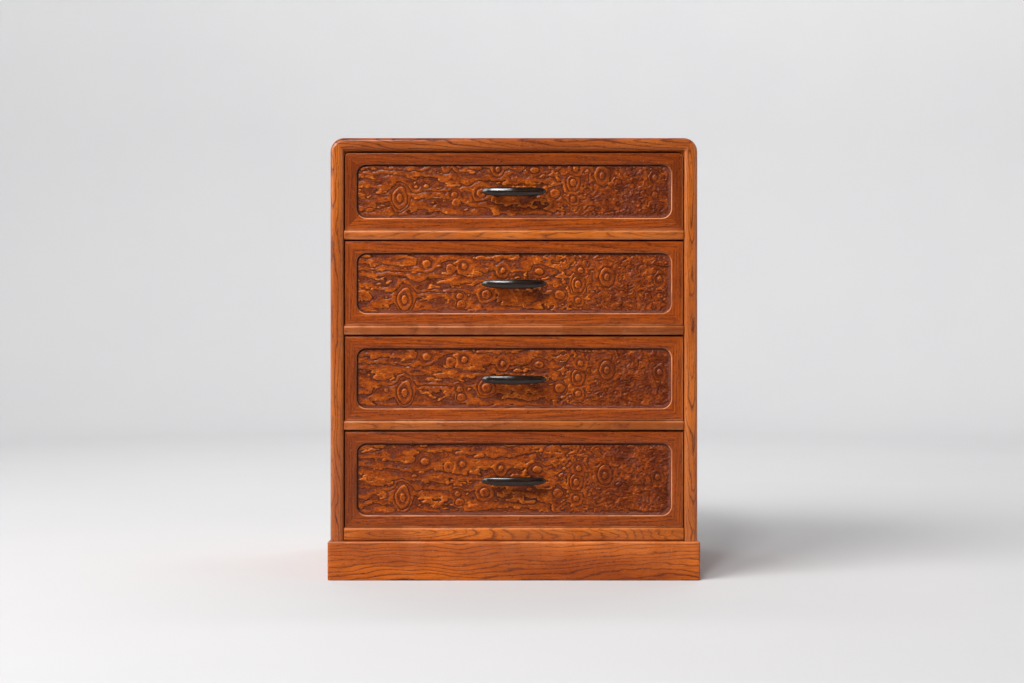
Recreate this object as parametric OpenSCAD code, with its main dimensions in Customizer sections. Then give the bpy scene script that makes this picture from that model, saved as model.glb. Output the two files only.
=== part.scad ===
// Small four-drawer chest on a plinth, in the manner of a Japanese kodansu.
// The front faces -Y, +X is to the right and +Z is up. The origin lies on the floor,
// in the middle of the width and of the depth over everything, pulls included.

/* [Case] */
// Width over the two side boards
case_w = 378; // [320:1:460]
// Depth from the front edge of the boards to the back
case_depth = 275; // [220:1:340]
// Thickness of the side boards and of the top board
board_t = 14; // [12:0.5:18]
// Radius left inside the two top corners, where side and top meet
inner_corner_r = 0.5; // [0.5:0.5:1.5]
// Size of the hollow fillets that fill those two corners
fillet_w = 5.5; // [3:0.5:6]
// Radius of the rounded front edges of the boards
board_arris_r = 5; // [2:0.5:5.5]
// Thickness of the back panel
back_t = 5; // [4:0.5:8]
// Width of the rebate that the back panel sits in
back_rebate_w = 7; // [5:0.5:9]

/* [Plinth] */
// Height of the plinth
plinth_h = 40; // [30:1:70]
// Thickness of the plinth boards
plinth_t = 16; // [12:0.5:22]
// How far the plinth stands proud of the case, in front and at both sides
plinth_proud = 2.5; // [1:0.5:6]
// Chamfer along the top edge and the front corners of the plinth
plinth_chamfer = 1.5; // [0.5:0.5:3]
// Side of the square blocks that brace the plinth's corners
block_w = 26; // [20:1:34]

/* [Bays and rails] */
// Height of the bay of the first drawer, at the top
bay_1_h = 81; // [65:1:110]
// Height of the bay of the second drawer
bay_2_h = 88; // [65:1:110]
// Height of the bay of the third drawer
bay_3_h = 88; // [65:1:110]
// Height of the bay of the fourth drawer, at the bottom
bay_4_h = 100; // [65:1:130]
// Height of the three rails between the bays
rail_h = 10; // [9:0.5:14]
// Depth of each front rail, from front to back
rail_d = 26; // [20:1:36]
// How far the rails lie behind the front edge of the case
rail_setback = 1.5; // [0:0.5:4]
// Radius of the rounded front edges of the rails
rail_arris_r = 3; // [1:0.5:4]
// Height of the bottom rail and thickness of the bottom board
bottom_rail_h = 14; // [10:0.5:20]
// Length of the stub tenons on the rails
tenon_l = 6; // [4:0.5:9]
// Height of the stub tenons
tenon_h = 5; // [4:0.5:7]
// Width of the runners that carry the drawers' sides
runner_w = 20; // [14:1:30]
// Thickness of the dust panels between the bays
dust_panel_t = 4; // [3:0.5:5]
// Depth of the grooves that hold the dust panels
groove_d = 5; // [3:0.5:8]

/* [Drawer fronts] */
// Gap at each side of a drawer front
side_gap = 1; // [0.5:0.1:2]
// Gap above a drawer front
top_gap = 1.5; // [1:0.1:3]
// Gap under a drawer front
bottom_gap = 0.3; // [0.2:0.1:1]
// How far a closed drawer front lies behind the front edge of the case
front_setback = 2.5; // [1:0.5:5]
// Face width of the mitred frame
frame_w = 12.3; // [10:0.1:16]
// Thickness of the mitred frame
frame_t = 6.5; // [6:0.5:10]
// Radius of the frame's inner corners
recess_r = 10; // [6:0.5:12]
// Radius of the rounded inner edge of the frame
recess_arris_r = 1.8; // [1:0.1:2.5]
// Radius of the first drawer front's two upper corners
front_corner_r = 4.5; // [3:0.5:6]
// Thickness of the burl panel
panel_t = 3.5; // [3:0.5:4]
// How far the frame laps over the burl panel
panel_lap = 6; // [4:0.5:8]

/* [Drawer boxes] */
// Thickness of the front board behind the frame
front_board_t = 12; // [10:0.5:16]
// Depth of the housings in the front board that take the sides and the bottom
housing_d = 7; // [5:0.5:8]
// Thickness of the drawers' sides and backs
side_t = 8; // [6:0.5:12]
// How far the sides lie inside the ends of the front
side_inset = 0.5; // [0.2:0.1:1.5]
// How far the tops of the sides lie under the top of the front
side_drop = 3; // [2:0.5:8]
// Thickness of the drawers' bottoms
bottom_t = 5; // [4:0.5:7]
// Width of the rebates in the sides that hold the bottom
bottom_rebate_w = 4; // [3:0.5:5]
// Number of fingers on the back's corner joints
fingers = 5; // [3:2:9]
// Length of the stop blocks behind the drawers
stop_l = 12; // [8:1:20]
// Space between a closed drawer and its stops
stop_gap = 0.2; // [0.1:0.1:1]

/* [Pulls] */
// Length of a pull
pull_l = 66; // [50:1:90]
// Height of a pull at its middle
pull_h = 10.5; // [9:0.5:14]
// Height of a pull near its ends
pull_end_h = 6.4; // [5:0.2:8]
// Thickness of a pull's bar at its middle
pull_bar_t = 8.5; // [7:0.5:9]
// Length of a pull's feet, which is the room for the fingers
pull_foot_l = 8; // [6:0.5:14]
// Radius of a pull's feet
pull_foot_r = 3.4; // [3:0.1:4]
// Distance between a pull's two feet, centre to centre
pull_foot_pitch = 36; // [28:1:44]
// How far the pull's centre lies under the middle of its panel
pull_drop = 1.2; // [0:0.1:4]

/* [Screws] */
// Radius of the screws' shanks
screw_r = 1.5; // [1.2:0.1:1.8]
// Radius of the screws' heads
screw_head_r = 3; // [2.6:0.1:4]
// Height of the screws' heads
screw_head_h = 1.8; // [1.2:0.1:2.4]
// Grip of a pull's screws in the feet and the bar
pull_screw_grip = 11; // [7:0.5:12]
// Length of the plinth screws in the bottom board
plinth_screw_grip = 9; // [6:0.5:9.5]
// Depth of the holes that sink the plinth screws into their blocks
plinth_screw_sink = 12; // [6:1:20]

/* [Hidden] */
$fn = 72;
wood = "peru";
front_wood = "chocolate";
light_wood = "burlywood";

DRAWERS = ["drawer_1", "drawer_2", "drawer_3", "drawer_4"];
DRAWER_PIECES = ["frame", "burl_panel", "front_board", "left_side", "right_side", "back", "bottom",
    "pull", "pull_screws"];
CASE_PIECES = ["left_side_board", "right_side_board", "top_board", "back_panel", "bottom_board",
    "corner_fillets", "bottom_rail", "rail_1", "rail_2", "rail_3", "left_runners", "right_runners",
    "rear_rails", "dust_panel_1", "dust_panel_2", "dust_panel_3", "drawer_stops", "plinth_front",
    "plinth_left", "plinth_right", "plinth_back", "plinth_blocks", "plinth_screws"];

// Play between a screw and its hole
screw_play = 0.1;
// Width and depth of the slot in a screw's head
screw_slot = 0.8;
// Thickness of glue in a mitre or a groove
glue_line = 0.06;
// Thickness left at the thin edges of the corner fillets
feather_t = 0.3;
// Distance of a plinth screw from the front edge of the bottom board
screw_edge = 6;
// How far the plinth's blocks stay off the floor
block_lift = 6;
// How much of a pull's round back is planed flat near its ends
pull_flat = 1;
// Cuts run this far past the faces that they open
over = 1;

bays = [bay_1_h, bay_2_h, bay_3_h, bay_4_h];
last = len(bays) - 1;
// Height of the floor of a drawer's bay, where d is 0 for the top drawer
function bay_z(d) = d == last ? plinth_h + bottom_rail_h : bay_z(d + 1) + bays[d + 1] + rail_h;

case_top_z = bay_z(0) + bays[0] + board_t;
half_w = case_w / 2;
inner_half_w = half_w - board_t;
outer_corner_r = inner_corner_r + board_t;

lip_t = frame_t - panel_t;
pull_reach = pull_foot_l + pull_bar_t;
pull_lead = pull_reach - front_setback - lip_t;
lead = max(pull_lead, plinth_proud);
front_y = lead - (lead + case_depth) / 2;
back_y = front_y + case_depth;
back_panel_y = back_y - back_t;
rail_y = front_y + rail_setback;
rail_back_y = rail_y + rail_d;

front_w = 2 * (inner_half_w - side_gap);
frame_y = front_y + front_setback;
panel_y = frame_y + lip_t;
front_board_y = frame_y + frame_t;
housing_y = front_board_y + front_board_t - housing_d;
drawer_back_y = back_panel_y - stop_l - stop_gap;
box_half_w = front_w / 2 - side_inset;
function front_z(d) = bay_z(d) + bottom_gap;
function front_h(d) = bays[d] - top_gap - bottom_gap;
function pull_z(d) = front_z(d) + front_h(d) / 2 - pull_drop;
pull_screw_l = front_board_t + panel_t + pull_screw_grip;
// The sides stand on the runners, so they reach lower than the front
function side_h(d) = bottom_gap + front_h(d) - side_drop;

plinth_half_w = half_w + plinth_proud;
plinth_front_y = front_y - plinth_proud;
front_block_y = plinth_front_y + plinth_t;
front_block_screw_y = rail_back_y + screw_edge;
rear_block_y = back_y - plinth_t - block_w;
rear_block_screw_y = rear_block_y + block_w / 2;
block_screw_x = plinth_half_w - plinth_t - block_w / 2;

// Section of a board with both front edges rounded: t across, depth from front to back
module board_section(t, depth, r) {
    translate([r, 0]) square([t - 2 * r, depth]);
    translate([0, r]) square([t, depth - r]);
    for (x = [r, t - r]) translate([x, r]) circle(r);
}

// Upright bar of that section, with its front lower corner at the origin
module upright_bar(t, depth, r, length) {
    linear_extrude(length) board_section(t, depth, r);
}

// Level bar of that section along +X, with its front lower corner at the origin
module level_bar(t, depth, r, length) {
    translate([0, 0, t]) rotate([0, 90, 0]) linear_extrude(length) board_section(t, depth, r);
}

// Puts the children at the centre of the round corner between the right side and the top
module at_top_corner() {
    translate([half_w - outer_corner_r, front_y, case_top_z - outer_corner_r])
        rotate([-90, 0, 0]) children();
}

// That corner, cut along the mitre by a wedge that is given in X and down
module corner_turn(waste) {
    at_top_corner() difference() {
        rotate([0, 0, -90]) rotate_extrude(angle = 90) translate([inner_corner_r, 0])
            board_section(board_t, case_depth, board_arris_r);
        translate([0, 0, -over]) linear_extrude(case_depth + 2 * over) polygon(waste);
    }
}

// Space for the back panel, larger than the panel by play on three sides
module back_panel_space(play, run) {
    w = inner_half_w + back_rebate_w + play;
    translate([-w, back_panel_y, plinth_h - run])
        cube([2 * w, back_t + run, case_top_z - board_t + back_rebate_w + play - plinth_h + run]);
}

// Stub tenons at both ends of the rail whose underside is at z
module tenons(z, height) {
    reach = inner_half_w + tenon_l;
    translate([-reach, rail_y + rail_d / 4, z + (height - tenon_h) / 2])
        cube([2 * reach, rail_d / 2, tenon_h]);
}

module all_tenons() {
    tenons(plinth_h, bottom_rail_h);
    for (d = [0 : last - 1]) tenons(bay_z(d) - rail_h, rail_h);
}

module side_board() {
    reach = outer_corner_r + over;
    color(wood) difference() {
        union() {
            translate([inner_half_w, front_y, plinth_h])
                upright_bar(board_t, case_depth, board_arris_r,
                    case_top_z - outer_corner_r - plinth_h);
            corner_turn([[0, 0], [reach, -reach], [-over, -reach], [-over, 0]]);
        }
        back_panel_space(glue_line, over);
        all_tenons();
    }
}

module right_side_board() {
    side_board();
}

module left_side_board() {
    mirror([1, 0, 0]) side_board();
}

// The top board meets the sides in a mitre
module top_board() {
    reach = outer_corner_r + over;
    straight = 2 * (half_w - outer_corner_r);
    color(wood) difference() {
        union() {
            translate([-straight / 2, front_y, case_top_z - board_t])
                level_bar(board_t, case_depth, board_arris_r, straight);
            for (side = [0, 1]) mirror([side, 0, 0])
                corner_turn([[0, 0], [reach, -reach], [reach, over], [0, over]]);
        }
        back_panel_space(glue_line, over);
    }
}

// Hollow mouldings along the two inner top corners, behind the rounded front edges
module corner_fillets() {
    w = fillet_w;
    c = inner_corner_r;
    color(wood) for (side = [0, 1]) mirror([side, 0, 0])
        translate([inner_half_w - w, front_y + board_arris_r, case_top_z - board_t - w])
            rotate([-90, 0, 0]) mirror([0, 1, 0])
            linear_extrude(back_panel_y - front_y - board_arris_r) difference() {
                polygon([[0, 0], [w, 0], [w, w - c], [w - c, w], [0, w]]);
                circle(w - feather_t);
            }
}

module back_panel() {
    color(light_wood) back_panel_space(0, 0);
}

module bottom_board() {
    color(light_wood) difference() {
        translate([-inner_half_w, rail_back_y, plinth_h])
            cube([2 * inner_half_w, back_panel_y - rail_back_y, bottom_rail_h]);
        at_plinth_screws() translate([0, 0, -over])
            cylinder(r = screw_r + screw_play, h = plinth_screw_grip + screw_play + over);
    }
}

// A front rail with its underside at z
module rail(z, height) {
    translate([-inner_half_w, rail_y, z])
        level_bar(height, rail_d, rail_arris_r, 2 * inner_half_w);
    tenons(z, height);
}

module bottom_rail() {
    color(wood) rail(plinth_h, bottom_rail_h);
}

// Space of the dust panel under drawer d, which lies in grooves all round
module dust_panel_space(d, play) {
    w = inner_half_w - runner_w + groove_d + play;
    y = rail_back_y - groove_d - play;
    back = back_panel_y - runner_w + groove_d + play;
    translate([-w, y, bay_z(d) - (rail_h + dust_panel_t) / 2 - play])
        cube([2 * w, back - y, dust_panel_t + 2 * play]);
}

module front_rail(d) {
    color(wood) difference() {
        rail(bay_z(d) - rail_h, rail_h);
        dust_panel_space(d, glue_line);
    }
}

module dust_panel(d) {
    color(light_wood) dust_panel_space(d, 0);
}

module right_runners() {
    color(light_wood) for (d = [0 : last - 1]) difference() {
        translate([inner_half_w - runner_w, rail_back_y, bay_z(d) - rail_h])
            cube([runner_w, back_panel_y - rail_back_y, rail_h]);
        dust_panel_space(d, glue_line);
    }
}

module left_runners() {
    mirror([1, 0, 0]) right_runners();
}

module rear_rails() {
    w = inner_half_w - runner_w;
    color(light_wood) for (d = [0 : last - 1]) difference() {
        translate([-w, back_panel_y - runner_w, bay_z(d) - rail_h])
            cube([2 * w, runner_w, rail_h]);
        dust_panel_space(d, glue_line);
    }
}

// Two blocks stand behind each drawer's sides
module drawer_stops() {
    color(light_wood) for (d = [0 : last]) for (side = [-1, 1])
        translate([side * (inner_half_w - runner_w / 2), back_panel_y - stop_l / 2,
            bay_z(d) + runner_w / 4])
            cube([runner_w / 2, stop_l, runner_w / 2], center = true);
}

// Section of a plinth board: t deep from its outer face, with the top outer edge chamfered
module plinth_section() {
    c = plinth_chamfer;
    polygon([[0, 0], [0, plinth_h - c], [c, plinth_h], [plinth_t, plinth_h], [plinth_t, 0]]);
}

// Upright prism at the plinth's two front corners, over points that are measured from a corner
module plinth_corner_prism(points) {
    for (side = [0, 1]) mirror([side, 0, 0])
        translate([plinth_half_w, plinth_front_y, -over])
            linear_extrude(plinth_h + 2 * over) polygon(points);
}

// The front corners of the plinth are mitred and then chamfered
module plinth_corner_cut() {
    c = plinth_chamfer;
    plinth_corner_prism([[-c - over, -over], [over, c + over], [over, -over]]);
}

module plinth_front() {
    reach = plinth_t + over;
    color(wood) difference() {
        translate([-plinth_half_w, plinth_front_y, 0])
            rotate([90, 0, 90]) linear_extrude(2 * plinth_half_w) plinth_section();
        plinth_corner_prism([[over, -over], [over, reach], [-reach, reach]]);
        plinth_corner_cut();
    }
}

module plinth_side() {
    reach = plinth_t + over;
    color(wood) difference() {
        translate([plinth_half_w, plinth_front_y, 0])
            rotate([90, 0, 180]) linear_extrude(back_y - plinth_front_y) plinth_section();
        plinth_corner_prism([[-reach, -over], [over, -over], [-reach, reach]]);
        plinth_corner_cut();
    }
}

module plinth_right() {
    plinth_side();
}

module plinth_left() {
    mirror([1, 0, 0]) plinth_side();
}

module plinth_back() {
    w = plinth_half_w - plinth_t;
    color(light_wood) translate([-w, back_y - plinth_t, 0]) cube([2 * w, plinth_t, plinth_h]);
}

// Puts the children at the four plinth screws, at the height of the plinth's top
module at_plinth_screws() {
    for (side = [-1, 1]) for (y = [front_block_screw_y, rear_block_screw_y])
        translate([side * block_screw_x, y, plinth_h]) children();
}

// The blocks brace the plinth's corners and take the screws that hold the case on the plinth
module plinth_blocks() {
    color(light_wood) difference() {
        for (side = [0, 1]) mirror([side, 0, 0])
            for (ends = [[front_block_y, 2 * front_block_screw_y - rail_back_y],
                    [rear_block_y, rear_block_y + block_w]])
                translate([block_screw_x - block_w / 2, ends[0], block_lift])
                    cube([block_w, ends[1] - ends[0], plinth_h - block_lift]);
        at_plinth_screws() {
            translate([0, 0, -plinth_h]) cylinder(r = screw_r + screw_play, h = plinth_h + over);
            translate([0, 0, -plinth_h])
                cylinder(r = screw_head_r + screw_play, h = block_lift + plinth_screw_sink);
        }
    }
}

// A slotted screw: its head lies under z = 0 and its shank stands on it
module screw(length) {
    cylinder(r = screw_r, h = length);
    translate([0, 0, -screw_head_h]) difference() {
        cylinder(r = screw_head_r, h = screw_head_h);
        cube([2 * screw_head_r + over, screw_slot, 2 * screw_slot], center = true);
    }
}

module plinth_screws() {
    length = plinth_h - block_lift - plinth_screw_sink + plinth_screw_grip;
    color("darkgray") at_plinth_screws() translate([0, 0, plinth_screw_grip - length]) screw(length);
}

// Everything of a drawer's front that is round at the upper corners, where only the first drawer is
module front_blank(d, y, t) {
    r = front_corner_r;
    h = front_h(d);
    difference() {
        translate([-front_w / 2, y, front_z(d)]) cube([front_w, t, h]);
        if (d == 0) for (side = [0, 1]) mirror([side, 0, 0])
            translate([front_w / 2 - r, y - over, front_z(d) + h - r]) difference() {
                cube([r + over, t + 2 * over, r + over]);
                rotate([-90, 0, 0]) cylinder(r = r, h = t + 2 * over);
            }
    }
}

// What the rounded inner edge of the frame lacks, beyond the wall of the opening
module recess_arris() {
    a = recess_arris_r;
    difference() {
        translate([-over, -over]) square(a + over);
        translate([a, a]) circle(a);
    }
}

// Waste of the frame's opening, w by h, centred and with its front at y = 0
module recess_waste(w, h) {
    r = recess_r;
    t = frame_t + 2 * over;
    translate([-w / 2 + r, -over, -h / 2]) cube([w - 2 * r, t, h]);
    translate([-w / 2, -over, -h / 2 + r]) cube([w, t, h - 2 * r]);
    for (sx = [0, 1]) for (sz = [0, 1]) mirror([sx, 0, 0]) mirror([0, 0, sz])
        translate([w / 2 - r, 0, h / 2 - r]) rotate([-90, 0, 0]) {
            translate([0, 0, -over]) cylinder(r = r, h = t);
            rotate([0, 0, -90]) rotate_extrude(angle = 90) translate([r, 0]) recess_arris();
        }
    for (s = [0, 1]) {
        mirror([0, 0, s]) translate([w / 2 - r, 0, h / 2])
            rotate([0, -90, 0]) linear_extrude(w - 2 * r) recess_arris();
        mirror([s, 0, 0]) translate([w / 2, 0, -h / 2 + r]) linear_extrude(h - 2 * r) recess_arris();
    }
}

// Four mitred pieces, which lap over the edge of the burl panel
module drawer_frame(d) {
    h = front_h(d);
    saw = 2 * sqrt(2) * (frame_w + recess_r);
    color(front_wood) difference() {
        front_blank(d, frame_y, frame_t);
        translate([0, frame_y, front_z(d) + h / 2]) {
            recess_waste(front_w - 2 * frame_w, h - 2 * frame_w);
            for (sx = [0, 1]) for (sz = [0, 1]) mirror([sx, 0, 0]) mirror([0, 0, sz])
                translate([front_w / 2, frame_t / 2, h / 2]) rotate([0, -45, 0])
                    cube([saw, frame_t + 2 * over, glue_line], center = true);
        }
        burl_plate(d, over);
    }
}

// Plate of the burl panel, run on at its back by run
module burl_plate(d, run) {
    edge = frame_w - panel_lap;
    translate([edge - front_w / 2, panel_y, front_z(d) + edge])
        cube([front_w - 2 * edge, panel_t + run, front_h(d) - 2 * edge]);
}

// Puts the children at the two screws of a pull, on the back of the front board, facing forward
module at_pull_screws(d) {
    for (side = [-1, 1])
        translate([side * pull_foot_pitch / 2, front_board_y + front_board_t, pull_z(d)])
            rotate([90, 0, 0]) children();
}

module pull_screw_holes(d) {
    at_pull_screws(d) translate([0, 0, -over])
        cylinder(r = screw_r + screw_play, h = pull_screw_l + screw_play + over);
}

module drawer_burl_panel(d) {
    color("sienna") difference() {
        burl_plate(d, 0);
        pull_screw_holes(d);
    }
}

// Space of a drawer's bottom, run on down and at its two ends
module bottom_plate(d, down, ends) {
    w = box_half_w - side_t + bottom_rebate_w;
    translate([-w, housing_y - ends, front_z(d) - down])
        cube([2 * w, drawer_back_y - housing_y + 2 * ends, bottom_t + down]);
}

// The sides and the bottom are let into the back of the front board
module drawer_front_board(d) {
    color(front_wood) difference() {
        front_blank(d, front_board_y, front_board_t);
        for (side = [0, 1]) mirror([side, 0, 0])
            translate([box_half_w - side_t, housing_y, bay_z(d) - over])
                cube([side_t + side_inset + over, housing_d + over, side_h(d) + over]);
        bottom_plate(d, over, 0);
        pull_screw_holes(d);
    }
}

// Waste between the fingers of a corner joint at the back, run past the side's or the back's inner face
module finger_waste(d, first, past_side, past_back) {
    z = front_z(d) + bottom_t;
    finger_h = (bay_z(d) + side_h(d) - z) / fingers;
    for (k = [first : 2 : fingers - 1]) {
        down = k == 0 ? over : 0;
        up = k == fingers - 1 ? over : 0;
        translate([box_half_w - side_t - past_side, drawer_back_y - side_t - past_back,
            z + k * finger_h - down])
            cube([side_t + past_side + over, side_t + past_back + over, finger_h + down + up]);
    }
}

module drawer_right_side(d) {
    color(light_wood) difference() {
        translate([box_half_w - side_t, housing_y, bay_z(d)])
            cube([side_t, drawer_back_y - housing_y, side_h(d)]);
        bottom_plate(d, over, over);
        finger_waste(d, 1, over, 0);
    }
}

module drawer_left_side(d) {
    mirror([1, 0, 0]) drawer_right_side(d);
}

module drawer_back(d) {
    z = front_z(d) + bottom_t;
    color(light_wood) difference() {
        translate([-box_half_w, drawer_back_y - side_t, z])
            cube([2 * box_half_w, side_t, bay_z(d) + side_h(d) - z]);
        for (side = [0, 1]) mirror([side, 0, 0]) finger_waste(d, 0, 0, over);
    }
}

module drawer_bottom(d) {
    color(light_wood) bottom_plate(d, 0, 0);
}

// Boat-shaped bar with a flat back, on two round feet
module drawer_pull(d) {
    r_mid = pull_h / 2;
    r_end = pull_end_h / 2;
    t_end = pull_end_h - pull_flat;
    color("black") difference() {
        translate([0, panel_y, pull_z(d)]) {
            difference() {
                hull() for (u = [-1 : 0.5 : 1]) {
                    swell = 1 - u * u;
                    r = r_end + (r_mid - r_end) * swell;
                    t = t_end + (pull_bar_t - t_end) * swell;
                    translate([u * (pull_l / 2 - r_end), r - t - pull_foot_l, 0]) sphere(r, $fn = 32);
                }
                translate([-pull_l, -pull_foot_l, -pull_h]) cube([2 * pull_l, pull_h, 2 * pull_h]);
            }
            for (side = [-1, 1]) translate([side * pull_foot_pitch / 2, 0, 0])
                rotate([90, 0, 0]) cylinder(r = pull_foot_r, h = pull_foot_l + over);
        }
        pull_screw_holes(d);
    }
}

module drawer_pull_screws(d) {
    color("goldenrod") at_pull_screws(d) screw(pull_screw_l);
}

left_side_board();
right_side_board();
top_board();
back_panel();
bottom_board();
corner_fillets();
bottom_rail();
left_runners();
right_runners();
rear_rails();
drawer_stops();
plinth_front();
plinth_left();
plinth_right();
plinth_back();
plinth_blocks();
plinth_screws();
for (d = [0 : last - 1]) {
    front_rail(d);
    dust_panel(d);
}
for (d = [0 : last]) {
    drawer_frame(d);
    drawer_burl_panel(d);
    drawer_front_board(d);
    drawer_left_side(d);
    drawer_right_side(d);
    drawer_back(d);
    drawer_bottom(d);
    drawer_pull(d);
    drawer_pull_screws(d);
}
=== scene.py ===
import math
from collections import namedtuple

import bmesh
import bpy
import numpy as np
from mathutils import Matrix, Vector, noise

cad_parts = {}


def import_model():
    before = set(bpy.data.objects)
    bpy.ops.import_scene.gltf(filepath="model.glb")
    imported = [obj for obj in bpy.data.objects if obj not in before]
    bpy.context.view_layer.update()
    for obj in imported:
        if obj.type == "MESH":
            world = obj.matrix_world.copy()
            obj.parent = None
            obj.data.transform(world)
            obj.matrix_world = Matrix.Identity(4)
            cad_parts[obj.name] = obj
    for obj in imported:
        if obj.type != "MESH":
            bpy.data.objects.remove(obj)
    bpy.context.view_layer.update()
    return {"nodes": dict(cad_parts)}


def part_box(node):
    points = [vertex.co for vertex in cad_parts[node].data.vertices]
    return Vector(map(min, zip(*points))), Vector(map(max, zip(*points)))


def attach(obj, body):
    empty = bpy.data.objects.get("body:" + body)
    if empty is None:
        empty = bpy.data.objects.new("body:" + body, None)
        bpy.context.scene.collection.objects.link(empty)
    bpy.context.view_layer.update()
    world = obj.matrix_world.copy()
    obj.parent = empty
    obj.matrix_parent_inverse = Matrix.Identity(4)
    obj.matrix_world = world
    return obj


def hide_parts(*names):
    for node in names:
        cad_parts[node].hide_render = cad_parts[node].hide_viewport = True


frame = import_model()

# Lengths are in metres, and MM turns millimetres into metres. The chest's front faces -Y, and its
# drawers are numbered from the top.
MM = 0.001
DRAWERS = (1, 2, 3, 4)

# Sizes read from the frame
SIDE_LOW, SIDE_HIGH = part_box("right_side_board")
PLINTH_LOW, PLINTH_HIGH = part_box("plinth_front")
BACK_LOW, BACK_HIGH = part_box("back_panel")
CASE_HALF_W = SIDE_HIGH.x
CASE_FRONT_Y = SIDE_LOW.y
CASE_BACK_Y = SIDE_HIGH.y
CASE_TOP_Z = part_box("top_board")[1].z
INSIDE_HALF_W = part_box("bottom_board")[1].x
BOARD_T = CASE_HALF_W - INSIDE_HALF_W
REBATE_IN = CASE_HALF_W - BACK_HIGH.x
PLINTH_H = PLINTH_HIGH.z
PLINTH_HALF_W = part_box("plinth_right")[1].x
PLINTH_FRONT_Y = PLINTH_LOW.y
PLINTH_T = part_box("plinth_blocks")[0].y - PLINTH_FRONT_Y

# Radii of the rounded corners and arrises
INNER_CORNER_R = 0.5 * MM
OUTER_CORNER_R = BOARD_T + INNER_CORNER_R
BOARD_ARRIS_R = 5 * MM
SMALL_ARRIS_R = 1 * MM
RAIL_ARRIS_R = 3 * MM
RAIL_END_R = 1.2 * MM
PLINTH_ARRIS_R = 2.4 * MM
PLINTH_CORNER_R = 3 * MM
FRAME_ARRIS_R = 1.2 * MM
RECESS_ARRIS_R = 2 * MM
RECESS_R = 10 * MM
FIRST_FRONT_R = 4.5 * MM
# Where the middle of a rounded arris lies, from either face, in radii
ARRIS_MIDDLE = 0.3
# How far a burl panel reaches behind its frame
PANEL_LAP = 6 * MM
# Steps in which an arris and a mitred corner turn
ARC_STEPS = 6
CORNER_STEPS = 8


# Shader trees

def link_or_set(tree, node, inputs):
    """Gives each named input its socket or its value."""
    for key, value in inputs.items():
        if isinstance(value, bpy.types.NodeSocket):
            tree.links.new(value, node.inputs[key])
        else:
            node.inputs[key].default_value = value
    return node


def add(tree, kind, inputs=None, **settings):
    """Adds a shader node; each input is a value or a socket to link."""
    node = tree.nodes.new("ShaderNode" + kind)
    for key, value in settings.items():
        setattr(node, key, value)
    return link_or_set(tree, node, inputs or {})


def calc(tree, operation, *values, clamp=False):
    """Output of one Math node."""
    return add(tree, "Math", dict(enumerate(values)), operation=operation,
               use_clamp=clamp).outputs[0]


def vector_calc(tree, operation, first, second):
    """Output of one Vector Math node with two vectors."""
    return add(tree, "VectorMath", {0: first, 1: second}, operation=operation).outputs[0]


def span(tree, value, low, high, to_low=0.0, to_high=1.0):
    """Maps value from low..high to to_low..to_high, with soft ends."""
    inputs = {"Value": value, "From Min": low, "From Max": high,
              "To Min": to_low, "To Max": to_high}
    return add(tree, "MapRange", inputs, interpolation_type="SMOOTHSTEP").outputs[0]


def band(tree, value, start, full, fade, end):
    """1 from full to fade, falling softly to 0 at start and end."""
    rise = span(tree, value, start, full)
    return calc(tree, "MULTIPLY", rise, span(tree, value, fade, end, 1.0, 0.0))


def blend(tree, share, first, second):
    """Mixes two colours."""
    node = add(tree, "Mix", data_type="RGBA")
    return link_or_set(tree, node, {0: share, 6: first, 7: second}).outputs[2]


def clouds(tree, place, cells, detail=2.0, rough=0.5, distortion=0.0):
    """Noise with so many cells to the metre along each axis of place."""
    scaled = vector_calc(tree, "MULTIPLY", place, cells)
    return add(tree, "TexNoise", {"Vector": scaled, "Scale": 1.0, "Detail": detail,
                                  "Roughness": rough, "Distortion": distortion})


def color_ramp(tree, value, stops):
    """A colour for each value from 0 to 1."""
    node = add(tree, "ValToRGB", {"Fac": value})
    elements = node.color_ramp.elements
    elements[0].position, elements[0].color = stops[0]
    elements[1].position, elements[1].color = stops[-1]
    for position, color in stops[1:-1]:
        elements.new(position).color = color
    return node.outputs["Color"]


def tone(red, green, blue):
    """Colour from its sRGB values, 0 to 255, as the linear values that a shader takes."""
    def linear(value):
        share = value / 255
        return share / 12.92 if share <= 0.04045 else ((share + 0.055) / 1.055) ** 2.4
    return (linear(red), linear(green), linear(blue), 1.0)


def start_group(name, inputs, outputs):
    """A node group with named sockets; returns its tree and its input and output nodes."""
    tree = bpy.data.node_groups.new(name, "ShaderNodeTree")
    for socket_name, kind, value in inputs:
        socket = tree.interface.new_socket(socket_name, in_out="INPUT",
                                           socket_type="NodeSocket" + kind)
        if value is not None:
            socket.default_value = value
    for socket_name in outputs:
        tree.interface.new_socket(socket_name, in_out="OUTPUT", socket_type="NodeSocketFloat")
    given = tree.nodes.new("NodeGroupInput").outputs
    return tree, given, tree.nodes.new("NodeGroupOutput").inputs


def use(tree, group, inputs):
    """Places a node group in a tree and gives its outputs."""
    node = tree.nodes.new("ShaderNodeGroup")
    node.node_tree = group
    return link_or_set(tree, node, inputs).outputs


# Sizes of the noise in wood, in cells to the metre: along the log, across it and deep into it
DRIFT_CELLS = (7, 24, 24)
PORE_CELLS = (190, 1700, 1700)
FIBRE_CELLS = (22, 750, 750)
MOTTLE_CELLS = (9, 34, 34)
# The rings grow wider and narrower: cells of that change to the ring, and how many rings it shifts
PACE_CELLS, PACE_SHIFT = 0.31, 1.6
# Phase of a ring at which its dark late wood begins, and at which its porous early wood has ended
LATE_WOOD, EARLY_WOOD = 0.86, 0.35
# Noise level above which there is a pore, and how much early wood and crowding lower it
PORE_LEVEL, EARLY_PORES, CROWDED_PORES = 0.665, -0.11, -0.05
PORE_SHARPNESS = 14.0
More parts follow.
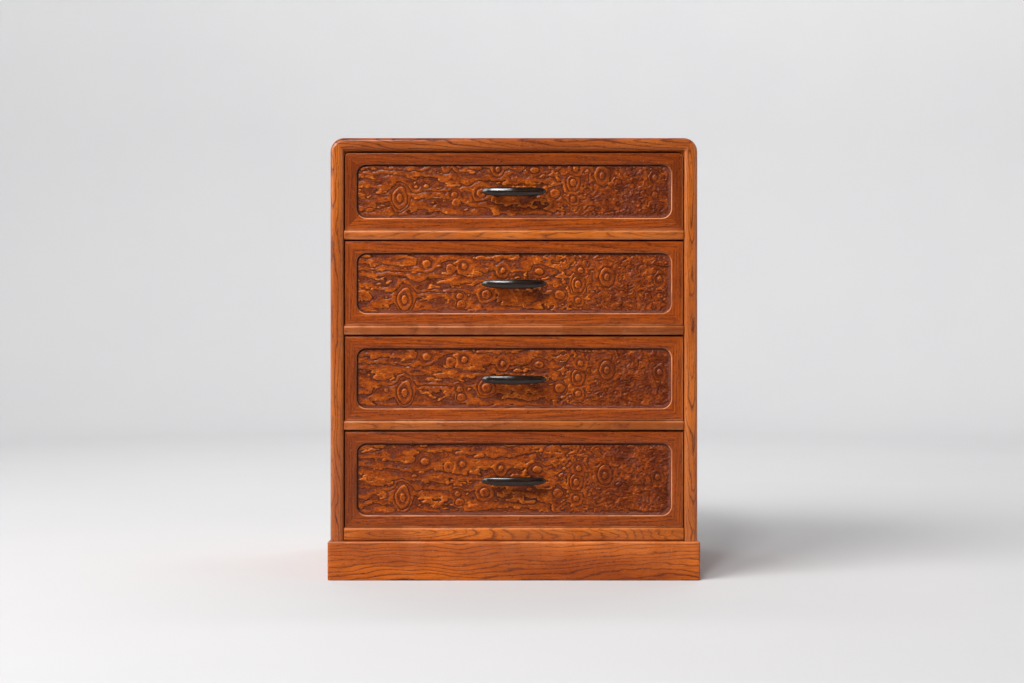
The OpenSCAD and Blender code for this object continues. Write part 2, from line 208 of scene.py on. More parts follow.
# Smears and dust specks on the object, in cells to the metre along X, Y and Z
SMEAR_CELLS = (26, 26, 11)
SPECK_CELLS = (800, 800, 800)


def growth_rings():
    """Growth rings round the heart of the log, which runs along X through the origin."""
    tree, given, made = start_group(
        "growth rings",
        [("Log", "Vector", None), ("Ring Width", "Float", 2 * MM), ("Wander", "Float", 8 * MM),
         ("Line Share", "Float", 0.3)],
        ["Line", "Early", "Ring Tone"])
    drift = clouds(tree, given["Log"], DRIFT_CELLS, detail=3.0, rough=0.55, distortion=0.3)
    off = vector_calc(tree, "SUBTRACT", drift.outputs["Color"], (0.5, 0.5, 0.5))
    wide = add(tree, "VectorMath", {0: off, "Scale": given["Wander"]}, operation="SCALE")
    moved = vector_calc(tree, "ADD", given["Log"], wide.outputs[0])
    flat = vector_calc(tree, "MULTIPLY", moved, (0, 1, 1))
    radius = add(tree, "VectorMath", {0: flat}, operation="LENGTH").outputs["Value"]
    count = calc(tree, "DIVIDE", radius, given["Ring Width"])
    pace = add(tree, "TexNoise", {"W": count, "Scale": PACE_CELLS, "Detail": 1.0},
               noise_dimensions="1D")
    count = calc(tree, "MULTIPLY_ADD", pace.outputs[0], PACE_SHIFT, count)
    phase = calc(tree, "FRACT", count)
    fade = calc(tree, "DIVIDE", phase, given["Line Share"], clamp=True)
    line = calc(tree, "POWER", calc(tree, "SUBTRACT", 1.0, fade), 1.5)
    tree.links.new(calc(tree, "MAXIMUM", line, span(tree, phase, LATE_WOOD, 1.0)), made["Line"])
    tree.links.new(span(tree, phase, 0.0, EARLY_WOOD, 1.0, 0.0), made["Early"])
    step = add(tree, "TexWhiteNoise", {"W": calc(tree, "FLOOR", count)}, noise_dimensions="1D")
    tree.links.new(step.outputs["Value"], made["Ring Tone"])
    return tree


def wood_pores():
    """Open pores along the grain, crowded where Early is high, with fibres and mottling."""
    tree, given, made = start_group(
        "wood pores",
        [("Log", "Vector", None), ("Early", "Float", 0.5), ("Crowding", "Float", 0.5)],
        ["Pores", "Fibres", "Mottle"])
    dashes = clouds(tree, given["Log"], PORE_CELLS, detail=1.0)
    limit = calc(tree, "MULTIPLY_ADD", given["Early"], EARLY_PORES, PORE_LEVEL)
    limit = calc(tree, "MULTIPLY_ADD", given["Crowding"], CROWDED_PORES, limit)
    over = calc(tree, "SUBTRACT", dashes.outputs[0], limit)
    tree.links.new(calc(tree, "MULTIPLY", over, PORE_SHARPNESS, clamp=True), made["Pores"])
    fibres = clouds(tree, given["Log"], FIBRE_CELLS, 3.0, 0.6)
    tree.links.new(fibres.outputs[0], made["Fibres"])
    mottle = clouds(tree, given["Log"], MOTTLE_CELLS, 3.0)
    tree.links.new(mottle.outputs[0], made["Mottle"])
    return tree


def handling():
    """Uneven wiping and specks of dust, from the place on the object."""
    tree, given, made = start_group("handling", [("Place", "Vector", None)],
                                    ["Smears", "Specks"])
    smears = clouds(tree, given["Place"], SMEAR_CELLS, 4.0, 0.62, 0.6)
    tree.links.new(span(tree, smears.outputs[0], 0.35, 0.7), made["Smears"])
    specks = clouds(tree, given["Place"], SPECK_CELLS, 0.0)
    tree.links.new(span(tree, specks.outputs[0], 0.76, 0.82), made["Specks"])
    return tree


RINGS = growth_rings()
PORES = wood_pores()
HANDLING = handling()


# Materials

def start_material(name):
    """A new material, its node tree and its Principled BSDF."""
    material = bpy.data.materials.new(name)
    material.use_nodes = True
    return material, material.node_tree, material.node_tree.nodes["Principled BSDF"]


def place_on_object(tree):
    return add(tree, "TexCoord").outputs["Object"]


def mesh_value(tree, name):
    return add(tree, "Attribute", attribute_name=name).outputs["Fac"]


def log_on_mesh(tree):
    """Place in the log, kept on the mesh of each shaped board."""
    return add(tree, "Attribute", attribute_name="log").outputs["Vector"]


# For grain along each axis, the axes that run along the log, across it and deep into it
LOG_ORDER = {"X": (0, 2, 1), "Y": (1, 0, 2), "Z": (2, 0, 1)}


def log_along(axis, off):
    """Place in the log for plain boards, whose grain runs along one axis."""
    def build(tree):
        place = vector_calc(tree, "ADD", place_on_object(tree), off)
        parts = add(tree, "SeparateXYZ", {0: place}).outputs
        turned = {i: parts[k] for i, k in enumerate(LOG_ORDER[axis])}
        return add(tree, "CombineXYZ", turned).outputs[0]
    return build


WoodTones = namedtuple("WoodTones", "base light dark pore")
STILE_TONES = WoodTones(tone(158, 74, 12), tone(190, 99, 24), tone(92, 35, 8), tone(56, 22, 7))
TOP_TONES = WoodTones(tone(148, 70, 20), tone(168, 86, 30), tone(88, 35, 12), tone(58, 24, 8))
PLINTH_TONES = WoodTones(tone(156, 67, 4), tone(204, 100, 14), tone(100, 38, 8), tone(66, 25, 7))
RAIL_TONES = WoodTones(tone(157, 72, 7), tone(200, 103, 22), tone(100, 40, 8), tone(66, 26, 7))
FRONT_TONES = WoodTones(tone(155, 66, 5), tone(170, 77, 8), tone(88, 32, 4), tone(56, 21, 5))
PALE_TONES = WoodTones(tone(196, 164, 122), tone(212, 184, 144), tone(160, 122, 80),
                       tone(132, 98, 62))
DUST_TONE = tone(196, 176, 160)
# How far pores and dust colour the wood, 0 to 1
PORE_SHARE, DUST_SHARE = 0.75, 0.12
# How high fibres stand, and how deep pores and ring lines lie, as shares of the wood's relief
FIBRE_HEIGHT, PORE_DEPTH, LINE_DEPTH = 0.35, -0.8, -0.2
WOOD_RELIEF = 0.15 * MM
WOOD_SPECULAR = 0.1
WOOD_COAT_ROUGH = 0.17


def wood(name, log_place, tones, ring_width=2 * MM, wander=8 * MM, line=0.6, crowding=0.5,
         rough=0.4, coat=0.0, relief=0.25, edge_light=0.25, fibre=0.35, wear_and_highlight_tone=None):
    """Wood with growth rings, pores, fibres and the marks of use; its lighter arrises are partly
    wear and partly a painted highlight.
    """
    material, tree, shader = start_material(name)
    log = log_place(tree)
    rings = use(tree, RINGS, {"Log": log, "Ring Width": ring_width, "Wander": wander})
    pores = use(tree, PORES, {"Log": log, "Early": rings["Early"], "Crowding": crowding})
    marks = use(tree, HANDLING, {"Place": place_on_object(tree)})

    color = blend(tree, span(tree, pores["Mottle"], 0.3, 0.7), tones.base, tones.light)
    color = blend(tree, mesh_value(tree, "darkening"), color, tones.dark)
    color = blend(tree, span(tree, pores["Fibres"], 0.35, 0.7, 0.0, fibre), color, tones.dark)
    strength = calc(tree, "MULTIPLY_ADD", rings["Ring Tone"], 0.7 * line, 0.5 * line)
    color = blend(tree, calc(tree, "MULTIPLY", rings["Line"], strength), color, tones.dark)
    color = blend(tree, calc(tree, "MULTIPLY", pores["Pores"], PORE_SHARE), color, tones.pore)
    # Lighter arrises, partly wear and partly a painted highlight where light catches them
    uneven_wear = span(tree, marks["Smears"], 0.1, 0.9, 0.4, 1.0)
    wear_and_highlight = calc(tree, "MULTIPLY", mesh_value(tree, "edge"), uneven_wear)
    wear_and_highlight = calc(tree, "MULTIPLY", wear_and_highlight, edge_light)
    color = blend(tree, wear_and_highlight, color, wear_and_highlight_tone or tones.light)
    color = blend(tree, calc(tree, "MULTIPLY", marks["Specks"], DUST_SHARE), color, DUST_TONE)

    gloss = calc(tree, "MULTIPLY_ADD", marks["Smears"], 0.12, rough - 0.04)
    gloss = calc(tree, "MULTIPLY_ADD", pores["Pores"], 0.2, gloss)
    height = calc(tree, "MULTIPLY", pores["Pores"], PORE_DEPTH)
    height = calc(tree, "MULTIPLY_ADD", pores["Fibres"], FIBRE_HEIGHT, height)
    height = calc(tree, "MULTIPLY_ADD", rings["Line"], LINE_DEPTH, height)
    bump = add(tree, "Bump", {"Height": height, "Strength": relief, "Distance": WOOD_RELIEF})
    link_or_set(tree, shader, {
        "Base Color": color, "Roughness": gloss, "Normal": bump.outputs[0],
        "Specular IOR Level": WOOD_SPECULAR, "Coat Weight": coat,
        "Coat Roughness": WOOD_COAT_ROUGH})
    return material


# Finishes, each with its tone for lighter arrises: partly wear, partly a painted highlight
LACQUERED = {"rough": 0.42, "coat": 0.6, "wear_and_highlight_tone": tone(210, 134, 84)}
RUBBED = {"rough": 0.44, "coat": 0.25, "wear_and_highlight_tone": tone(219, 140, 88)}
SATIN = {"rough": 0.46, "coat": 0.25, "wear_and_highlight_tone": tone(222, 142, 92)}
STILE_WOOD = wood("zelkova_stiles", log_on_mesh, STILE_TONES, ring_width=2.1 * MM,
                  wander=20 * MM, line=0.9, **LACQUERED)
TOP_WOOD = wood("zelkova_top", log_on_mesh, TOP_TONES, ring_width=2.2 * MM, wander=16 * MM,
                line=0.95, edge_light=0.0, **RUBBED)
PLINTH_WOOD = wood("zelkova_plinth", log_on_mesh, PLINTH_TONES, ring_width=4.2 * MM,
                   wander=26 * MM, line=0.95, edge_light=0.8, **RUBBED)
RAIL_WOOD = wood("zelkova_rails", log_on_mesh, RAIL_TONES, ring_width=2.2 * MM,
                 wander=20 * MM, line=0.85, crowding=0.3, edge_light=0.6, **RUBBED)
FRONT_WOOD = wood("drawer_front_wood", log_on_mesh, FRONT_TONES, ring_width=2.2 * MM,
                  wander=5 * MM, line=0.42, crowding=0.9, edge_light=0.75, fibre=0.75, **SATIN)
FILLET_WOOD = wood("zelkova_fillets", log_along("Y", (0.1, 0, 0)), STILE_TONES, rough=0.5)
BARE_FRONT_WOOD = wood("drawer_front_board_wood", log_along("X", (0, 0.21, 0.02)), FRONT_TONES,
                       ring_width=2.6 * MM, line=0.35, crowding=0.9, rough=0.55)


def pale_wood(name, axis, off):
    """Planed pale softwood, bare."""
    return wood(name, log_along(axis, off), PALE_TONES, ring_width=3.4 * MM, wander=14 * MM,
                line=0.5, crowding=-0.6, rough=0.62, relief=0.18, edge_light=0.0)


PALE_ACROSS = pale_wood("pale_wood_across", "X", (0, 0.35, 0.05))
PALE_DEEP = pale_wood("pale_wood_deep", "Y", (0.07, 0, 0.31))
PALE_UPRIGHT = pale_wood("pale_wood_upright", "Z", (0.11, 0.6, 0))


def polished_ebony():
    """Black close-grained hardwood, polished."""
    material, tree, shader = start_material("polished_ebony")
    streaks = clouds(tree, log_on_mesh(tree), (30, 900, 900), 3.0).outputs[0]
    marks = use(tree, HANDLING, {"Place": place_on_object(tree)})
    color = blend(tree, span(tree, streaks, 0.35, 0.75), tone(19, 11, 7), tone(48, 30, 19))
    bump = add(tree, "Bump", {"Height": streaks, "Strength": 0.12, "Distance": 0.1 * MM})
    gloss = calc(tree, "MULTIPLY_ADD", marks["Smears"], 0.06, 0.14)
    link_or_set(tree, shader, {"Base Color": color, "Roughness": gloss,
                               "Normal": bump.outputs[0], "Specular IOR Level": 0.42})
    return material


def turned_metal(name, bright, dull):
    """Screw metal with turning marks and some tarnish."""
    material, tree, shader = start_material(name)
    place = place_on_object(tree)
    lines = clouds(tree, place, (3000, 3000, 3000)).outputs[0]
    blooms = clouds(tree, place, (420, 420, 420), 3.0).outputs[0]
    color = blend(tree, span(tree, blooms, 0.35, 0.68), bright, dull)
    bump = add(tree, "Bump", {"Height": lines, "Strength": 0.2, "Distance": 0.05 * MM})
    link_or_set(tree, shader, {"Base Color": color, "Metallic": 1.0, "Normal": bump.outputs[0],
                               "Roughness": span(tree, blooms, 0.3, 0.75, 0.28, 0.55)})
    return material


# The burl's colours over one ring of its growth, from a low over the crest to the dark line: where
# the figure is strong, and where it is faint. The grey of the lows is partly a painted reflection
# of the glossy hollows, and the bright stop just before the dark line is a painted highlight along
# the crest
BOLD_RING = [
    (0.0, tone(40, 12, 3)), (0.05, tone(80, 32, 16)), (0.13, tone(106, 55, 45)),
    (0.25, tone(112, 55, 37)), (0.36, tone(136, 55, 10)), (0.5, tone(172, 76, 8)),
    (0.68, tone(192, 88, 8)), (0.8, tone(200, 94, 12)), (0.87, tone(216, 122, 44)),
    (0.92, tone(140, 57, 8)), (0.965, tone(50, 16, 2))]
SOFT_RING = [
    (0.0, tone(72, 24, 3)), (0.1, tone(112, 44, 8)), (0.32, tone(150, 62, 6)),
    (0.58, tone(180, 80, 8)), (0.8, tone(192, 90, 12)), (0.87, tone(206, 110, 34)),
    (0.93, tone(132, 52, 6)), (0.97, tone(82, 28, 3))]
# Its colours where it has no rings, over the noise there
PLAIN_BURL = [
    (0.3, tone(66, 21, 5)), (0.42, tone(108, 41, 8)), (0.52, tone(146, 61, 10)),
    (0.6, tone(184, 86, 18)), (0.7, tone(210, 124, 58))]
BURL_BUMP = 0.7 * MM


def lacquered_burl():
    """Burl coloured by its growth: each ring runs from a grey low, partly a painted reflection,
    over a bright crest with a painted highlight to a dark line."""
    material, tree, shader = start_material("lacquered_burl")
    place = place_on_object(tree)

    def uneven_share(cells, detail, rough):
        return clouds(tree, place, cells, detail, rough).outputs[0]

    def uneven(cells, detail, rough):
        return calc(tree, "SUBTRACT", uneven_share(cells, detail, rough), 0.5)

    def add_share(value, share, rest):
        return calc(tree, "MULTIPLY_ADD", value, share, rest)

    ragged = uneven((170, 170, 430), 5.0, 0.68)
    fine = uneven((560, 560, 850), 4.0, 0.68)
    mottle = uneven((130, 130, 240), 5.0, 0.7)
    patches = uneven((46, 46, 80), 3.0, 0.6)
    growth = add_share(ragged, 0.24, mesh_value(tree, "growth"))
    growth = add_share(fine, 0.08, growth)
    phase = calc(tree, "FRACT", growth)

    # The rings, strong in patches and faint where the figure is calm
    bold = color_ramp(tree, phase, BOLD_RING)
    soft = color_ramp(tree, phase, SOFT_RING)
    lively = add_share(mesh_value(tree, "calm"), -0.85, 1.0)
    boldness = calc(tree, "MULTIPLY", span(tree, patches, -0.12, 0.04, 0.15, 1.0), lively)
    color = blend(tree, boldness, soft, bold)

    # Their dark lines are broken here and there, and the wood between them is mottled
    line = calc(tree, "SUBTRACT", 1.0, band(tree, phase, 0.02, 0.1, 0.9, 0.95))
    breaks = span(tree, uneven((60, 60, 130), 3.0, 0.6), -0.08, 0.1, 0.75, 0.0)
    color = blend(tree, calc(tree, "MULTIPLY", line, breaks), color, tone(134, 56, 12))
    color = blend(tree, span(tree, mottle, 0.0, 0.2, 0.0, 0.7), color, tone(96, 34, 6))
    color = blend(tree, span(tree, mottle, -0.03, -0.22, 0.0, 0.5), color, tone(202, 106, 30))

    # Thin lines, three to a ring, and faint streaks, five to a ring
    third = calc(tree, "FRACT", add_share(growth, 3.0, calc(tree, "MULTIPLY", mottle, 1.5)))
    thin = calc(tree, "MULTIPLY", band(tree, third, 0.7, 0.92, 0.95, 1.0),
                span(tree, patches, 0.1, -0.1, 0.25, 0.65))
    color = blend(tree, thin, color, tone(70, 22, 4))
    fifth = calc(tree, "FRACT", add_share(growth, 5.0, calc(tree, "MULTIPLY", mottle, 2.0)))
    streaked = blend(tree, 0.36, color, tone(92, 38, 14))
    color = blend(tree, band(tree, fifth, 0.1, 0.5, 0.6, 0.9), color, streaked)

    # Plain wood without rings at the right end
    plain = color_ramp(tree, uneven_share((150, 150, 190), 6.0, 0.74), PLAIN_BURL)
    # Grey patches in the plain wood, partly a painted reflection like the lows of the rings
    plain = blend(tree, span(tree, patches, 0.02, 0.12, 0.0, 0.7), plain, tone(106, 54, 44))
    color = blend(tree, mesh_value(tree, "plain"), color, plain)

    # Fine specks, the panel's shade, the flat margin along the frame, painted paler grey partly as
    # its sheen, and a painted shadow in the upper left of the recess, where the frame shades it
    color = blend(tree, span(tree, fine, 0.0, 0.2, 0.0, 0.6), color, tone(80, 28, 6))
    color = blend(tree, span(tree, fine, -0.02, -0.2, 0.0, 0.4), color, tone(202, 112, 48))
    color = blend(tree, mesh_value(tree, "shade"), color, tone(80, 26, 8))
    color = blend(tree, mesh_value(tree, "margin"), color, tone(130, 72, 54))
    # Painted shadow in the upper left of the recess
    color = blend(tree, mesh_value(tree, "painted_shade"), color, tone(38, 14, 8))

    crest = band(tree, phase, 0.0, 0.6, 0.72, 1.0)
    height = add_share(fine, 1.2, add_share(mottle, 1.0, crest))
    height = add_share(ragged, 1.5, height)
    height = add_share(thin, -0.5, height)
    bump = add(tree, "Bump", {"Height": height, "Strength": 1.0, "Distance": BURL_BUMP})
    link_or_set(tree, shader, {
        "Base Color": color, "Roughness": span(tree, crest, 0.0, 1.0, 0.5, 0.4),
        "Normal": bump.outputs[0], "Specular IOR Level": 0.05, "Coat Weight": 0.18,
        "Coat Roughness": 0.14})
    return material


EBONY = polished_ebony()
BRASS = turned_metal("tarnished_brass", tone(196, 160, 88), tone(138, 104, 58))
STEEL = turned_metal("dull_steel", tone(150, 150, 152), tone(98, 96, 94))
BURL = lacquered_burl()


# Meshes

# How a board was sawn from its log: the axis along which it grew, where the log's heart lies
# across and deep, how far the heart leans, and how far along the log the board starts
Grain = namedtuple("Grain", "along heart lean start", defaults=((0.0, 0.0), 0.0))


def lay_grain(vertices, grain):
    """Place of each vertex in the log: along the heart, and across and deep from it."""
    points = np.asarray(vertices, float)[:, LOG_ORDER[grain.along]]
    points[:, 1] -= grain.heart[0] + grain.lean[0] * points[:, 0]
    points[:, 2] -= grain.heart[1] + grain.lean[1] * points[:, 0]
    points[:, 0] += grain.start
    return points


def new_piece(name, vertices, faces, material, body, slot, replaces, floats, grain=None,
              sharp=40):
    """A mesh object with its attributes, on its body and in place of its CAD nodes. Edges that
    turn more than sharp degrees stay sharp."""
    mesh = bpy.data.meshes.new(name)
    mesh.from_pydata([tuple(v) for v in vertices], [], faces)
    for key, values in floats.items():
        layer = mesh.attributes.new(key, "FLOAT", "POINT")
        layer.data.foreach_set("value", np.asarray(values, np.float32))
    if grain:
        layer = mesh.attributes.new("log", "FLOAT_VECTOR", "POINT")
        layer.data.foreach_set("vector", lay_grain(vertices, grain).astype(np.float32).ravel())
    shape = bmesh.new()
    shape.from_mesh(mesh)
    bmesh.ops.recalc_face_normals(shape, faces=shape.faces)
    shape.to_mesh(mesh)
    shape.free()
    mesh.shade_smooth()
    mesh.set_sharp_from_angle(angle=math.radians(sharp))
    mesh.materials.append(material)
    piece = bpy.data.objects.new(name, mesh)
    bpy.context.scene.collection.objects.link(piece)
    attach(piece, body)
    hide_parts(*replaces)


def skin(rings):
    """Vertices and faces of a closed solid through rings of points."""
    count = len(rings[0])
    faces = []
    for k in range(len(rings) - 1):
        near, far = k * count, (k + 1) * count
        faces += [(near + i, near + (i + 1) % count, far + (i + 1) % count, far + i)
                  for i in range(count)]
    last = (len(rings) - 1) * count
    faces += [tuple(range(count)), tuple(range(last, last + count))]
    return [p for ring in rings for p in ring], faces


def arc(centre_x, centre_y, radius, start, end, steps=ARC_STEPS):
    """Points on an arc between two angles in degrees, with both ends."""
    angles = [math.radians(start + (end - start) * k / steps) for k in range(steps + 1)]
    return [(centre_x + radius * math.cos(a), centre_y + radius * math.sin(a)) for a in angles]


# One edge line of a mitred frame: how far it lies inside the outermost one, and the radius of its
# corners. A profile's points are (line, offset inwards from that line, depth).
Line = namedtuple("Line", "inset radius")
# A line whose run is longer than its radius by this factor has a straight stretch before the corner
LONGER_RUN = 1.01


def near_corner(line, run, share):
    """Where a line is, between a stretch before a corner (share 0) and the mitre (share 1): how
    far behind the corner, how far inside the straight, and its outward direction."""
    run -= line.inset
    if not line.radius:
        return run * (1 - share), 0.0, (float(share == 1), 1.0)
    straight = 0.5 if run > line.radius * LONGER_RUN else 0.0
    if share < straight:
        return run - (run - line.radius) * share / straight, 0.0, (0.0, 1.0)
    turn = math.radians(45) * (share - straight) / (1 - straight)
    inside = line.radius * (1 - math.cos(turn))
    return line.radius * (1 - math.sin(turn)), inside, (math.sin(turn), math.cos(turn))


def end_rings(lines_run, profile, half_l, half_w):
    """Rings up to the mitre at the far end of a frame piece, as (along, out, deep)."""
    lines, run = lines_run
    rings = []
    for k in range(CORNER_STEPS + 1):
        spots = [near_corner(line, run, k / CORNER_STEPS) for line in lines]
        ring = []
        for which, offset, deep in profile:
            behind, inside, (lean, out) = spots[which]
            inset = lines[which].inset
            ring.append((half_l - inset - behind - offset * lean,
                         half_w - inset - inside - offset * out, deep))
        rings.append(ring)
    return rings


def cut_ring(lines, profile, along, half_w):
    """The square-cut end of a frame piece."""
    return [(along, half_w - lines[which].inset - offset, deep)
            for which, offset, deep in profile]


def frame_piece(name, plane, centre, along, half_l, half_w, start, end, profile, **rest):
    """One piece of a mitred frame. It runs along a direction of the plane, with its outer face to
    the right of it; start and end are (lines, run) of a mitred corner, or the place of a square
    cut."""
    if isinstance(start, float):
        rings = [cut_ring(end[0], profile, start, half_w)]
    else:
        rings = [[(-a, o, d) for a, o, d in ring]
                 for ring in reversed(end_rings(start, profile, half_l, half_w))]
    if isinstance(end, float):
        rings.append(cut_ring(start[0], profile, end, half_w))
    else:
        rings += end_rings(end, profile, half_l, half_w)
    out = (along[1], -along[0])

    def world(a, o, deep):
        u = centre[0] + a * along[0] + o * out[0]
        v = centre[1] + a * along[1] + o * out[1]
        return (u, deep, v) if plane == "XZ" else (u, v, deep)

    vertices, faces = skin([[world(*p) for p in ring] for ring in rings])
    floats = {"edge": rest.pop("edges") * len(rings),
              "darkening": rest.pop("darkening", [0.0] * len(profile)) * len(rings)}
    new_piece(name, vertices, faces, floats=floats, **rest)


def arris_share(profile, arrises, radius):
    """How near each point of a profile is to the middle of an arris, 0 to 1."""
    return [max([1 - math.hypot(offset - o, deep - d) / radius
                 for line, o, d in arrises if line == which] + [0])
            for which, offset, deep in profile]


def case_boards():
    """The two sides and the top, mitred, with round outer corners and rounded front arrises."""
    r, small, back, front = BOARD_ARRIS_R, SMALL_ARRIS_R, CASE_BACK_Y, CASE_FRONT_Y
    profile = [(0, o, d) for o, d in arc(small, back - small, small, 90, 180, 2)]
    profile += [(0, o, d) for o, d in arc(r, front + r, r, 180, 270)]
    profile += [(1, o, d) for o, d in arc(-r, front + r, r, 270, 360)]
    profile += [(1, 0.0, BACK_LOW.y), (2, 0.0, BACK_LOW.y), (2, 0.0, back)]
    reach = ARRIS_MIDDLE * r
    edges = arris_share(profile, [(0, reach, front + reach), (1, -reach, front + reach)],
                        0.8 * r)
    lines = [Line(0, OUTER_CORNER_R), Line(BOARD_T, INNER_CORNER_R), Line(REBATE_IN, 0)]
    corner = (lines, OUTER_CORNER_R)
    half_h = (CASE_TOP_Z - PLINTH_H) / 2
    centre = (0, PLINTH_H + half_h)
    common = {"profile": profile, "edges": edges, "body": "case", "slot": "case_wood"}
    frame_piece("case_right_side", "XZ", centre, (0, 1), half_h, CASE_HALF_W, -half_h, corner,
                material=STILE_WOOD, replaces=["right_side_board"],
                grain=Grain("Z", (0.186, -0.151), (-0.006, 0.045)), **common)
    frame_piece("case_top", "XZ", centre, (-1, 0), CASE_HALF_W, half_h, corner, corner,
                material=TOP_WOOD, replaces=["top_board"],
                grain=Grain("X", (0.35, 0.01), (-0.03, 0.04), 0.7), **common)
    frame_piece("case_left_side", "XZ", centre, (0, -1), half_h, CASE_HALF_W, corner, half_h,
                material=STILE_WOOD, replaces=["left_side_board"],
                grain=Grain("Z", (-0.197, -0.16), (-0.03, 0.01), 1.3), **common)


def plinth_boards():
    """The front and the two sides of the plinth, mitred at the front corners."""
    r, small = PLINTH_ARRIS_R, SMALL_ARRIS_R
    profile = [(0, o, d) for o, d in arc(small, small, small, 270, 180, 2)]
    profile += [(0, o, d) for o, d in arc(r, PLINTH_H - r, r, 180, 90)]
    profile += [(1, 0.0, PLINTH_H), (1, 0.0, 0.0)]
    reach = ARRIS_MIDDLE * r
    edges = arris_share(profile, [(0, reach, PLINTH_H - reach)], r)
    corner = ([Line(0, PLINTH_CORNER_R), Line(PLINTH_T, 0)], PLINTH_T + 1 * MM)
    half_w, half_d = PLINTH_HALF_W, (CASE_BACK_Y - PLINTH_FRONT_Y) / 2
    centre = (0, PLINTH_FRONT_Y + half_d)
    common = {"profile": profile, "edges": edges, "material": PLINTH_WOOD, "body": "case",
              "slot": "case_wood"}
    frame_piece("plinth_front_board", "XY", centre, (1, 0), half_w, half_d, corner, corner,
                replaces=["plinth_front"],
                grain=Grain("X", (-0.02, -0.15), (0.03, 0.03), 2.1), **common)
    frame_piece("plinth_right_board", "XY", centre, (0, 1), half_d, half_w, corner, half_d,
                replaces=["plinth_right"],
                grain=Grain("Y", (0.16, 0.012), (0.02, 0.0), 2.9), **common)
    frame_piece("plinth_left_board", "XY", centre, (0, -1), half_d, half_w, -half_d, corner,
                replaces=["plinth_left"],
                grain=Grain("Y", (-0.17, 0.03), (0.02, 0.02), 3.7), **common)


def front_rail(node, darkening, grain):
    """A rail between the side boards, with rounded front arrises and slightly rounded ends."""
    low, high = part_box(node)
    r = RAIL_ARRIS_R
    section = (arc(low.y + r, low.z + r, r, 270, 180) + arc(low.y + r, high.z - r, r, 180, 90)
               + [(high.y, high.z), (high.y, low.z)])
    points = np.array(section)
    middle = (points.min(0) + points.max(0)) / 2
    half = points.max(0) - middle
    turns = [math.radians(a) for a in (0, 30, 60, 90)]
    rings = []
    for side, side_turns in ((-1, turns), (1, turns[::-1])):
        for turn in side_turns:
            x = side * (INSIDE_HALF_W - RAIL_END_R * (1 - math.cos(turn)))
            shape = middle + (points - middle) * (1 - RAIL_END_R * (1 - math.sin(turn)) / half)
            rings.append([(x, y, z) for y, z in shape])
    reach = ARRIS_MIDDLE * r
    spots = [(low.y + reach, low.z + reach), (low.y + reach, high.z - reach)]
    edges = [max([1 - math.dist(p, s) / (0.9 * r) for s in spots] + [0]) for p in section]
    vertices, faces = skin(rings)
    floats = {"edge": edges * len(rings), "darkening": [darkening] * len(vertices)}
    new_piece("front_" + node, vertices, faces, RAIL_WOOD, "case", "case_wood", [node], floats,
              grain)


# How much darker the bottom, right, top and left pieces of each drawer's frame are, 0 to 1
FRAME_DARKENING = {1: (0.08, 0.62, 0.4, 0.46), 2: (0.0, 0.0, 0.1, 0.2),
                   3: (0.06, 0.06, 0.04, 0.36), 4: (0.2, 0.26, 0.24, 0.54)}
# How far a frame's arrises are darkened with painted shade, where shade falls into the gaps and the
# recess: at the outer edge of its upper and left pieces, at the recess there, and at the outer edge
# of the other two pieces
OUTER_PAINTED_SHADE, INNER_PAINTED_SHADE, LOWER_PAINTED_SHADE = 0.9, 0.8, 0.27
# How much more the arrises of the lower and right pieces of a frame are lightened than the mean,
# partly wear and partly a painted highlight where light falls; the upper and left pieces, where
# shade falls, get that much less at the recess and none at their outer edge
LIT_SIDE_HIGHLIGHT = 1.7


